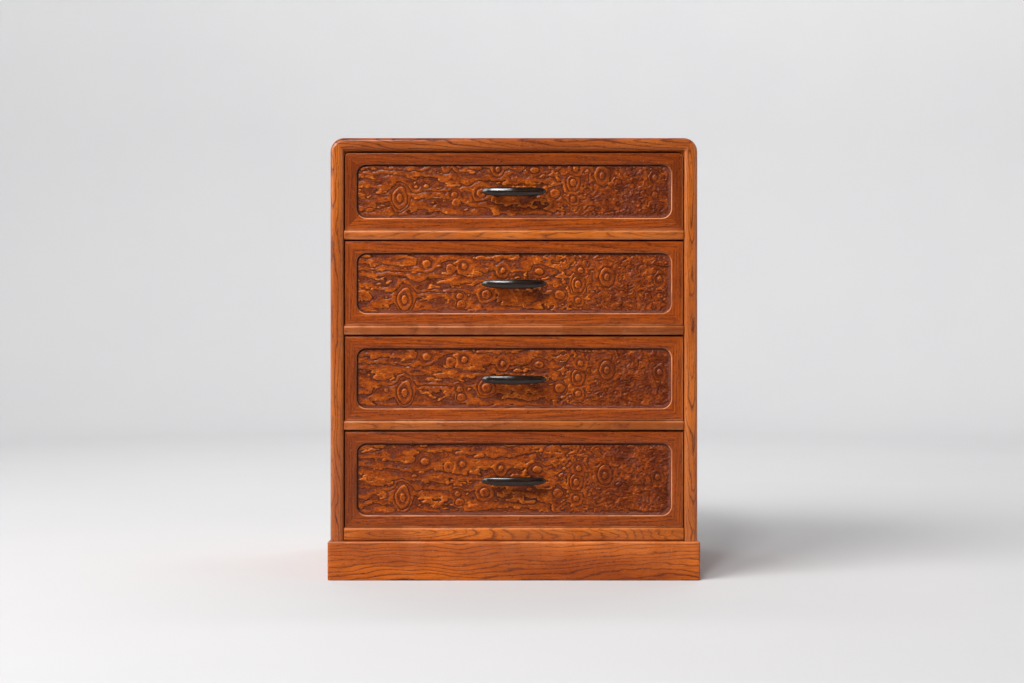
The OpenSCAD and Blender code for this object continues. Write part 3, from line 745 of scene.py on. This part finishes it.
def drawer_frame(number):
    """The four mitred pieces round a burl panel, with a rounded recess."""
    body = f"drawer_{number}"
    low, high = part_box(body + "_frame")
    panel_low, panel_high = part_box(body + "_burl_panel")
    width = high.x - panel_high.x + PANEL_LAP
    r, inner_r, front = FRAME_ARRIS_R, RECESS_ARRIS_R, low.y
    profile = [(0, 0.0, high.y)] + [(0, o, d) for o, d in arc(r, front + r, r, 180, 270, 4)]
    profile += [(1, o, d) for o, d in arc(-inner_r, front + inner_r, inner_r, 270, 360)]
    profile += [(1, 0.0, panel_low.y), (2, 0.0, panel_low.y), (2, 0.0, high.y)]
    reach, inner_reach = ARRIS_MIDDLE * r, ARRIS_MIDDLE * inner_r
    edges = arris_share(profile, [(0, reach, front + reach),
                                  (1, -inner_reach, front + inner_reach)], 0.7 * r)
    # Painted highlight, on top of wear, on the arrises of the lower and right pieces; the upper and
    # left ones, in shade, get less
    wear_and_highlight = [edge * LIT_SIDE_HIGHLIGHT for edge in edges]
    shaded_side_wear = [edge / LIT_SIDE_HIGHLIGHT * line for edge, (line, offset, deep) in zip(edges, profile)]

    def corner(outer_r):
        lines = [Line(0, outer_r), Line(width, RECESS_R), Line(width - PANEL_LAP, 0)]
        return lines, width + RECESS_R

    # Darkening of each profile point: the piece's own tone, plus painted shade at its outer arris
    # and its recess arris
    def tone_and_painted_shade(share, outer, inner):
        fades = (0.5 * r, 0.15 * inner_r, width)
        return [share + (1 - share) * (outer, inner, 0)[line]
                * min((deep - front) / fades[line], 1.0) for line, offset, deep in profile]

    square = corner(0)
    upper = corner(FIRST_FRONT_R if number == DRAWERS[0] else 0)
    half_w, half_h = high.x, (high.z - low.z) / 2
    lengthwise = 0.9 * number
    below = Grain("X", (low.z - 0.03, -0.19), (0.02, 0.02), lengthwise)
    right = Grain("Z", (0.205, -0.17), (0.03, 0.0), lengthwise + 0.2)
    above = Grain("X", (high.z + 0.02, -0.2), (-0.02, 0.02), lengthwise + 0.5)
    left = Grain("Z", (-0.21, -0.18), (0.02, 0.02), lengthwise + 0.7)
    lower_painted_shade, upper_painted_shade = (LOWER_PAINTED_SHADE, 0.0), (OUTER_PAINTED_SHADE, INNER_PAINTED_SHADE)
    rows = [("bottom", (1, 0), half_w, half_h, square, square, below, wear_and_highlight, lower_painted_shade),
            ("right", (0, 1), half_h, half_w, square, upper, right, wear_and_highlight, lower_painted_shade),
            ("top", (-1, 0), half_w, half_h, upper, upper, above, shaded_side_wear, upper_painted_shade),
            ("left", (0, -1), half_h, half_w, upper, square, left, shaded_side_wear, upper_painted_shade)]
    for row, share in zip(rows, FRAME_DARKENING[number]):
        side, along, half_l, half_out, start, end, grain, arris_wear_and_highlight, painted_shade = row
        frame_piece(f"{body}_frame_{side}", "XZ", (0, low.z + half_h), along, half_l, half_out,
                    start, end, profile, edges=arris_wear_and_highlight, darkening=tone_and_painted_shade(share, *painted_shade),
                    material=FRONT_WOOD, body=body, slot="front_wood",
                    replaces=[body + "_frame"], grain=grain)


# The burl's eyes, measured on the second drawer: place from the panel's middle and radii in mm,
# how many rings each has, and the phase of growth at its centre, which is low where it is grey and
# high where it is orange
Eye = namedtuple("Eye", "x z rx rz rings centre")
EYES = [Eye(-112.6, -16.8, 11, 16, 2.3, 0.5), Eye(-28.4, -11.7, 10, 10, 1.9, 0.2),
        Eye(-51, 17, 8, 8, 1.1, 0.6), Eye(-65, 15, 6, 6, 0.9, 0.2),
        Eye(-11, 13, 7, 8, 1.1, 0.6), Eye(-56, -13.5, 6, 6, 1.0, 0.5),
        Eye(-54, -22, 6, 5, 0.9, 0.25), Eye(-90, 20, 9, 8, 0.8, 0.6),
        Eye(66, -1.4, 10, 13, 2.2, 0.5), Eye(96, 6, 10, 13, 1.8, 0.6),
        Eye(66, -18, 7, 7, 1.3, 0.5), Eye(69, 13, 7, 7, 1.1, 0.6),
        Eye(47.5, -12.5, 8, 7, 1.1, 0.3), Eye(150, 4, 7, 8, 1.1, 0.6),
        Eye(26, 12, 9, 7, 1.0, 0.5)]
# How far the figure is shifted on each drawer, in mm: the panels were sawn one after another
FIGURE_SHIFTS = {1: (-5, 10), 2: (0, 0), 3: (0, 2), 4: (-2, -2)}
# How dark each panel is as a whole, 0 to 1
PANEL_SHADES = {1: 0.16, 2: 0.0, 3: 0.16, 4: 0.16}
GRID_STEP = 0.8 * MM
BURL_RELIEF = 1.7 * MM
# Height of one ring of growth where the burl is plainly banded, in mm
RING_H = 12.5


def smooth_step(low, high, value):
    share = np.clip((value - low) / (high - low), 0, 1)
    return share * share * (3 - 2 * share)


def burl_noise(x, z, cut, cell_x, cell_z, octaves=3):
    """Smooth noise about zero, with cells of that size in mm; cut is the slice through the
    burl."""
    return np.array([noise.fractal((u, v, cut), 0.9, 2.0, octaves)
                     for u, v in zip(x / cell_x, z / cell_z)])


def burl_growth(x, z, cut):
    """At places in mm: growth of the burl in rings, banded to the left and knotty to the right,
    how far the surface domes up, and where the eyes are."""
    knotty = smooth_step(0, 70, x + 16 * burl_noise(x, z, cut + 3, 40, 30, 1))
    bands = 0.9 * burl_noise(x, z, cut, 80, 26, 2) + 0.55 * burl_noise(x, z, cut + 5, 32, 8, 4)
    knots = (1.2 * burl_noise(x, z, cut + 9, 18, 12, 2)
             + 0.9 * burl_noise(x, z, cut + 15, 8, 5.5, 3))
    lobes = np.abs(burl_noise(x, z, cut + 27, 14, 8, 3))
    growth = (-z / RING_H * (1 - 0.5 * knotty) + bands * (1 - 0.6 * knotty) + knots * knotty
              - 0.6 * lobes)
    ragged = 0.16 * burl_noise(x, z, cut + 33, 6, 3.2, 4)
    wobble = 0.16 * burl_noise(x, z, cut + 21, 9, 9, 2)
    domes = 0.6 * lobes
    eyes = np.zeros_like(x)
    for eye in EYES:
        near = np.hypot((x - eye.x) / eye.rx, (z - eye.z) / eye.rz)
        near = near + wobble * np.minimum(near, 1)
        inside = smooth_step(1.35, 0.7, near)
        edge = growth[int(np.argmin(near))]
        middle = edge - eye.rings + (eye.centre - edge + eye.rings + 0.5) % 1 - 0.5
        growth = growth * (1 - inside) + (middle + eye.rings * near ** 1.3) * inside
        domes = np.maximum(domes, smooth_step(1.1, 0.0, near))
        eyes = np.maximum(eyes, smooth_step(1.15, 0.85, near))
    return growth + ragged * (1 - 0.55 * eyes), domes, eyes


def crest_of(phase):
    """Height of the burl's surface, 0 to 1: it rises softly from a low and drops at the dark
    line."""
    return smooth_step(0.0, 0.6, phase) * smooth_step(1.0, 0.75, phase)


def inside_recess(from_x, from_z, half_x, half_z):
    """How far each place lies inside the outline of the rounded recess, in mm."""
    reach_x = np.abs(from_x) - (half_x - RECESS_R)
    reach_z = np.abs(from_z) - (half_z - RECESS_R)
    outside = np.hypot(np.maximum(reach_x, 0), np.maximum(reach_z, 0)) + np.minimum(
        np.maximum(reach_x, reach_z), 0)
    return (RECESS_R - outside) / MM


def relief_slab(front, back_y, across, up):
    """Vertices and faces of a slab with a grid of points as its front and a flat back, and which
    points of the grid its rim repeats."""
    columns = across + 1
    faces = [(r * columns + c, r * columns + c + 1, (r + 1) * columns + c + 1,
              (r + 1) * columns + c) for r in range(up) for c in range(across)]
    rim = (list(range(across)) + [r * columns + across for r in range(up)]
           + [up * columns + c for c in range(across, 0, -1)]
           + [r * columns for r in range(up, 0, -1)])
    behind = [(front[i][0], back_y, front[i][2]) for i in rim]
    first, count = len(front), len(rim)
    faces += [(rim[k], first + k, first + (k + 1) % count, rim[(k + 1) % count])
              for k in range(count)]
    faces.append(tuple(range(first, first + count)))
    return front + behind, faces, rim


def burl_panel(number):
    """A burl panel with real relief: crests stand proud of the lows between them."""
    body = f"drawer_{number}"
    low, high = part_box(body + "_burl_panel")
    wide, tall = high.x - low.x, high.z - low.z
    across, up = round(wide / GRID_STEP), round(tall / GRID_STEP)
    grid_x, grid_z = np.meshgrid(np.linspace(low.x, high.x, across + 1),
                                 np.linspace(low.z, high.z, up + 1))
    grid_x, grid_z = grid_x.ravel(), grid_z.ravel()
    from_middle = grid_z - (low.z + high.z) / 2
    shift_x, shift_z = FIGURE_SHIFTS[number]
    x, z = grid_x / MM - shift_x, from_middle / MM - shift_z
    growth, domes, eyes = burl_growth(x, z, 0.3 + 0.14 * number)
    relief = 0.62 * crest_of(growth % 1) + 0.38 * domes

    # A flat margin along the frame, wider towards the lit lower right, and a painted shadow where
    # the frame shades the upper left of the recess
    half_x, half_z = wide / 2 - PANEL_LAP, tall / 2 - PANEL_LAP
    from_edge = inside_recess(grid_x, from_middle, half_x, half_z)
    lit_side = np.clip(grid_x / half_x, -1, 1) ** 3 - np.clip(from_middle / half_z, -1, 1) ** 3
    ragged = burl_noise(x, z, 31, 6, 6, 2)
    flat_w = 2.0 + 0.9 * np.clip(lit_side, -1, 1) + 0.7 * ragged
    margin = 1 - smooth_step(flat_w - 0.5, flat_w + 0.9, from_edge)
    # Painted shadow of the frame along the upper and left edges of the recess
    painted_recess_shadow = (1 - smooth_step(0.7, 2.6, from_edge)) * np.clip(0.45 - 0.9 * lit_side, 0, 0.85)

    # Darker patches, a calmer figure and plain wood towards the right end
    dark_end = smooth_step(60, 110, x + 14 * burl_noise(x, z, 41, 22, 16, 2))
    dark_patches = smooth_step(-0.4, 0.3, burl_noise(x, z, 51 + number * 0.1, 16, 12, 3))
    shade = PANEL_SHADES[number] + 0.5 * dark_end * dark_patches
    calm = np.maximum(eyes, 0.8 * smooth_step(45, 95, x))
    plain_end = smooth_step(58, 100, x + 18 * burl_noise(x, z, 61, 26, 18, 3))
    plain = 0.75 * plain_end * (1 - eyes)

    depth = BURL_RELIEF * relief * (1 - margin)
    front = list(zip(grid_x, low.y - depth, grid_z))
    vertices, faces, rim = relief_slab(front, high.y, across, up)
    floats = {"growth": growth, "margin": margin, "shade": shade, "calm": calm, "plain": plain,
              "painted_shade": painted_recess_shadow}
    floats = {key: np.concatenate([values, values[rim]]) for key, values in floats.items()}
    new_piece(body + "_burl", vertices, faces, BURL, body, "burl", [body + "_burl_panel"],
              floats, sharp=75)


# Section of a pull: share of its depth from the front, and share of its height above or below the
# middle. The third to fifth points are a facet that leans back.
PULL_SECTION = [
    (0.0, -0.12), (0.012, 0.08), (0.042, 0.25), (0.106, 0.55), (0.17, 0.84), (0.24, 0.96),
    (0.35, 1.0), (0.52, 0.98), (0.72, 0.88), (0.9, 0.64), (0.98, 0.35), (1.0, 0.0),
    (0.97, -0.34), (0.88, -0.64), (0.7, -0.9), (0.48, -1.0), (0.3, -0.97), (0.15, -0.84),
    (0.06, -0.62), (0.012, -0.36)]
# Sections along a pull crowd towards its ends on a sine, and stop at this share of its half turn
PULL_STATIONS = 37
PULL_TURN = 0.985
# Gap between bar and panel, how far the bar's front curves back towards its ends, and how much
# further the very ends are rounded
PULL_GAP = 8 * MM
PULL_BOW = 3.0 * MM
PULL_END_R = 2.5 * MM
# A foot's place from the middle, and its turned shape: distance from the panel and radius, in mm
FOOT_X = 18 * MM
FOOT_SHAPE = ((0.0, 4.2), (0.5, 4.2), (1.6, 3.6), (4.0, 3.3), (6.6, 3.4), (8.6, 3.9), (10.2, 4.0))
FOOT_TURNS = 24


def drawer_pull(number):
    """A boat-shaped bar, straight above, fuller below and slightly peaked in the middle, on two
    flared feet."""
    body = f"drawer_{number}"
    low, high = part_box(body + "_pull")
    middle_z = (low.z + high.z) / 2
    half_l, half_h = (high.x - low.x) / 2, (high.z - low.z) / 2
    back_y = high.y - PULL_GAP
    rings = []
    for k in range(PULL_STATIONS):
        u = math.sin(math.pi * (k / (PULL_STATIONS - 1) - 0.5) * PULL_TURN)
        close = math.sqrt(1 - abs(u) ** 12)
        above = (0.86 - 0.1 * abs(u)) * half_h * close
        below = (1.0 - 0.5 * u * u) * half_h * close
        peaked = 0.35 * (math.hypot(u, 0.06) - 0.06) + 0.65 * u * u
        nose_y = low.y + PULL_BOW * peaked + PULL_END_R * (1 - close)
        depth = (back_y - nose_y) * (0.25 + 0.75 * close)
        rings.append([(u * half_l, nose_y + back * depth,
                       middle_z + up * (above if up > 0 else below))
                      for back, up in PULL_SECTION])
    vertices, faces = skin(rings)
    turns = [2 * math.pi * t / FOOT_TURNS for t in range(FOOT_TURNS)]
    for side in (-1, 1):
        foot = [[(side * FOOT_X + radius * MM * math.cos(a), high.y - back * MM,
                  middle_z + radius * MM * math.sin(a)) for a in turns]
                for back, radius in FOOT_SHAPE]
        foot_vertices, foot_faces = skin(foot)
        faces += [tuple(i + len(vertices) for i in face) for face in foot_faces]
        vertices += foot_vertices
    grain = Grain("X", (middle_z - 0.03, -0.12), (0, 0), 0.3 * number)
    new_piece(body + "_pull_bar", vertices, faces, EBONY, body, "ebony", [body + "_pull"], {},
              grain, sharp=60)


# The pieces

case_boards()
plinth_boards()
front_rail("rail_1", 0.0, Grain("X", (0.352, -0.163), (0.004, 0.05), 0.4))
front_rail("rail_2", 0.7, Grain("X", (0.245, -0.158), (-0.03, 0.02), 1.4))
front_rail("rail_3", 0.44, Grain("X", (0.168, -0.17), (0.02, -0.02), 2.4))
front_rail("bottom_rail", 0.0, Grain("X", (0.0465, -0.112), (0.0, 0.15), 3.4))
for number in DRAWERS:
    drawer_frame(number)
    burl_panel(number)
    drawer_pull(number)


# Materials and eased edges of the CAD nodes that show as they are

SCREW_BEVEL = 0.15 * MM
BOARD_BEVEL = 0.5 * MM
BEVEL_FROM_DEGREES = 50
WELD_REACH = 0.01 * MM
plain_nodes = {
    "back_panel": PALE_ACROSS, "bottom_board": PALE_ACROSS, "corner_fillets": FILLET_WOOD,
    "left_runners": PALE_DEEP, "right_runners": PALE_DEEP, "rear_rails": PALE_ACROSS,
    "dust_panel_1": PALE_ACROSS, "dust_panel_2": PALE_ACROSS, "dust_panel_3": PALE_ACROSS,
    "drawer_stops": PALE_DEEP, "plinth_back": PALE_ACROSS, "plinth_blocks": PALE_UPRIGHT,
    "plinth_screws": STEEL}
for number in DRAWERS:
    name = f"drawer_{number}_"
    plain_nodes |= {name + "front_board": BARE_FRONT_WOOD, name + "left_side": PALE_DEEP,
                    name + "right_side": PALE_DEEP, name + "back": PALE_ACROSS,
                    name + "bottom": PALE_ACROSS, name + "pull_screws": BRASS}
for node, material in plain_nodes.items():
    piece = frame["nodes"][node]
    for slot in piece.material_slots:
        slot.material = material
    if not piece.material_slots:
        piece.data.materials.append(material)
    weld = piece.modifiers.new("weld", "WELD")
    weld.merge_threshold = WELD_REACH
    bevel = piece.modifiers.new("eased edges", "BEVEL")
    bevel.width = SCREW_BEVEL if "screws" in node else BOARD_BEVEL
    bevel.segments = 2
    bevel.limit_method = "ANGLE"
    bevel.angle_limit = math.radians(BEVEL_FROM_DEGREES)


# Floor, light and camera

STUDIO_R = 3.3
SWEEP_R = 0.9
STUDIO_TOP_Z = 3.4
STUDIO_SIDES = 72
# Steps in which the floor curves up, each of so many degrees
SWEEP_STEPS, SWEEP_STEP = 15, 6
# The wall's height in front of the chest, as a share of its height behind it
FRONT_WALL = 0.15
FLOOR_TONES = ((0.6, 0.6, 0.61, 1), (0.63, 0.63, 0.635, 1))


def backdrop():
    """Round pale floor that curves up into a wall, low in front so that the front takes no glare
    from it."""
    sweep = [math.radians(SWEEP_STEP * k) for k in range(SWEEP_STEPS + 1)]
    section = [(STUDIO_R - SWEEP_R + SWEEP_R * math.sin(a), SWEEP_R * (1 - math.cos(a)))
               for a in sweep]
    section.append((STUDIO_R, STUDIO_TOP_Z))
    turns = [2 * math.pi * t / STUDIO_SIDES for t in range(STUDIO_SIDES)]
    heights = [FRONT_WALL + (1 - FRONT_WALL) * smooth_step(-0.95, -0.7, math.sin(a))
               for a in turns]
    vertices = [(reach * math.cos(a), reach * math.sin(a), z * height)
                for reach, z in section for a, height in zip(turns, heights)]
    faces = []
    for k in range(len(section) - 1):
        near, far = k * STUDIO_SIDES, (k + 1) * STUDIO_SIDES
        faces += [(near + t, far + t, far + (t + 1) % STUDIO_SIDES, near + (t + 1) % STUDIO_SIDES)
                  for t in range(STUDIO_SIDES)]
    faces.append(tuple(range(STUDIO_SIDES)))
    mesh = bpy.data.meshes.new("studio_floor")
    mesh.from_pydata(vertices, [], faces)
    mesh.shade_smooth()
    material, tree, shader = start_material("pale_floor")
    uneven = clouds(tree, place_on_object(tree), (3, 3, 3), 3.0).outputs[0]
    link_or_set(tree, shader, {"Base Color": blend(tree, uneven, *FLOOR_TONES),
                               "Roughness": 1.0, "Specular IOR Level": 0.0})
    mesh.materials.append(material)
    floor = bpy.data.objects.new("studio_floor", mesh)
    bpy.context.scene.collection.objects.link(floor)


# Soft rectangular lamps: place, what they face, size, power in watts, beam in degrees and colour
Lamp = namedtuple("Lamp", "place target size power beam color", defaults=(180, (1, 1, 1)))
CHEST_MIDDLE = (0, 0, 0.25)
LAMPS = {
    "key_light": Lamp((-1.82, -1.82, 2.41), CHEST_MIDDLE, (1.89, 1.89), 60, 130,
                      (1.0, 0.985, 0.97)),
    "front_light": Lamp((-0.54, -2.3, 2.88), CHEST_MIDDLE, (0.42, 0.78), 38),
    "left_light": Lamp((-2.76, -0.96, 1.27), CHEST_MIDDLE, (1.08, 1.44), 12, 140),
    "right_light": Lamp((2.2, -1.0, 0.9), CHEST_MIDDLE, (1.2, 1.2), 4.5),
    "wall_light": Lamp((0.2, 1.2, 2.9), (0.1, 3.3, 0.7), (2.6, 1.0), 54)}
SKY_TONE = (0.93, 0.95, 1.0, 1)
SKY_LEVEL = 0.08


def hang_lamp(name, lamp):
    light = bpy.data.lights.new(name, "AREA")
    light.shape = "RECTANGLE"
    light.size, light.size_y = lamp.size
    light.energy = lamp.power
    light.color = lamp.color
    light.spread = math.radians(lamp.beam)
    holder = bpy.data.objects.new(name, light)
    holder.location = lamp.place
    facing = Vector(lamp.target) - Vector(lamp.place)
    holder.rotation_euler = facing.to_track_quat("-Z", "Y").to_euler()
    bpy.context.scene.collection.objects.link(holder)


backdrop()
for name, lamp in LAMPS.items():
    hang_lamp(name, lamp)

scene = bpy.context.scene
world = scene.world or bpy.data.worlds.new("studio")
scene.world = world
world.use_nodes = True
sky = world.node_tree.nodes["Background"]
sky.inputs["Color"].default_value = SKY_TONE
sky.inputs["Strength"].default_value = SKY_LEVEL
scene.view_settings.view_transform = "Standard"

# The camera, at the photograph's framing: picture width and height of the chest in pixels, the
# sensor's width in mm, how far in front of the case it stands, and where across and how high
PHOTO_W = 1024
PIXELS_HIGH = 442.9
SENSOR_W = 36.0
CAMERA_DISTANCE = 1.6
CAMERA_X = -1.95 * MM
CAMERA_Z = 245.3 * MM
camera_data = bpy.data.cameras.new("camera")
camera_data.sensor_width = SENSOR_W
camera_data.lens = PIXELS_HIGH / CASE_TOP_Z * CAMERA_DISTANCE * SENSOR_W / PHOTO_W
camera = bpy.data.objects.new("camera", camera_data)
camera.location = (CAMERA_X, CASE_FRONT_Y - CAMERA_DISTANCE, CAMERA_Z)
camera.rotation_euler = (math.radians(90), 0, 0)
scene.collection.objects.link(camera)
scene.camera = camera
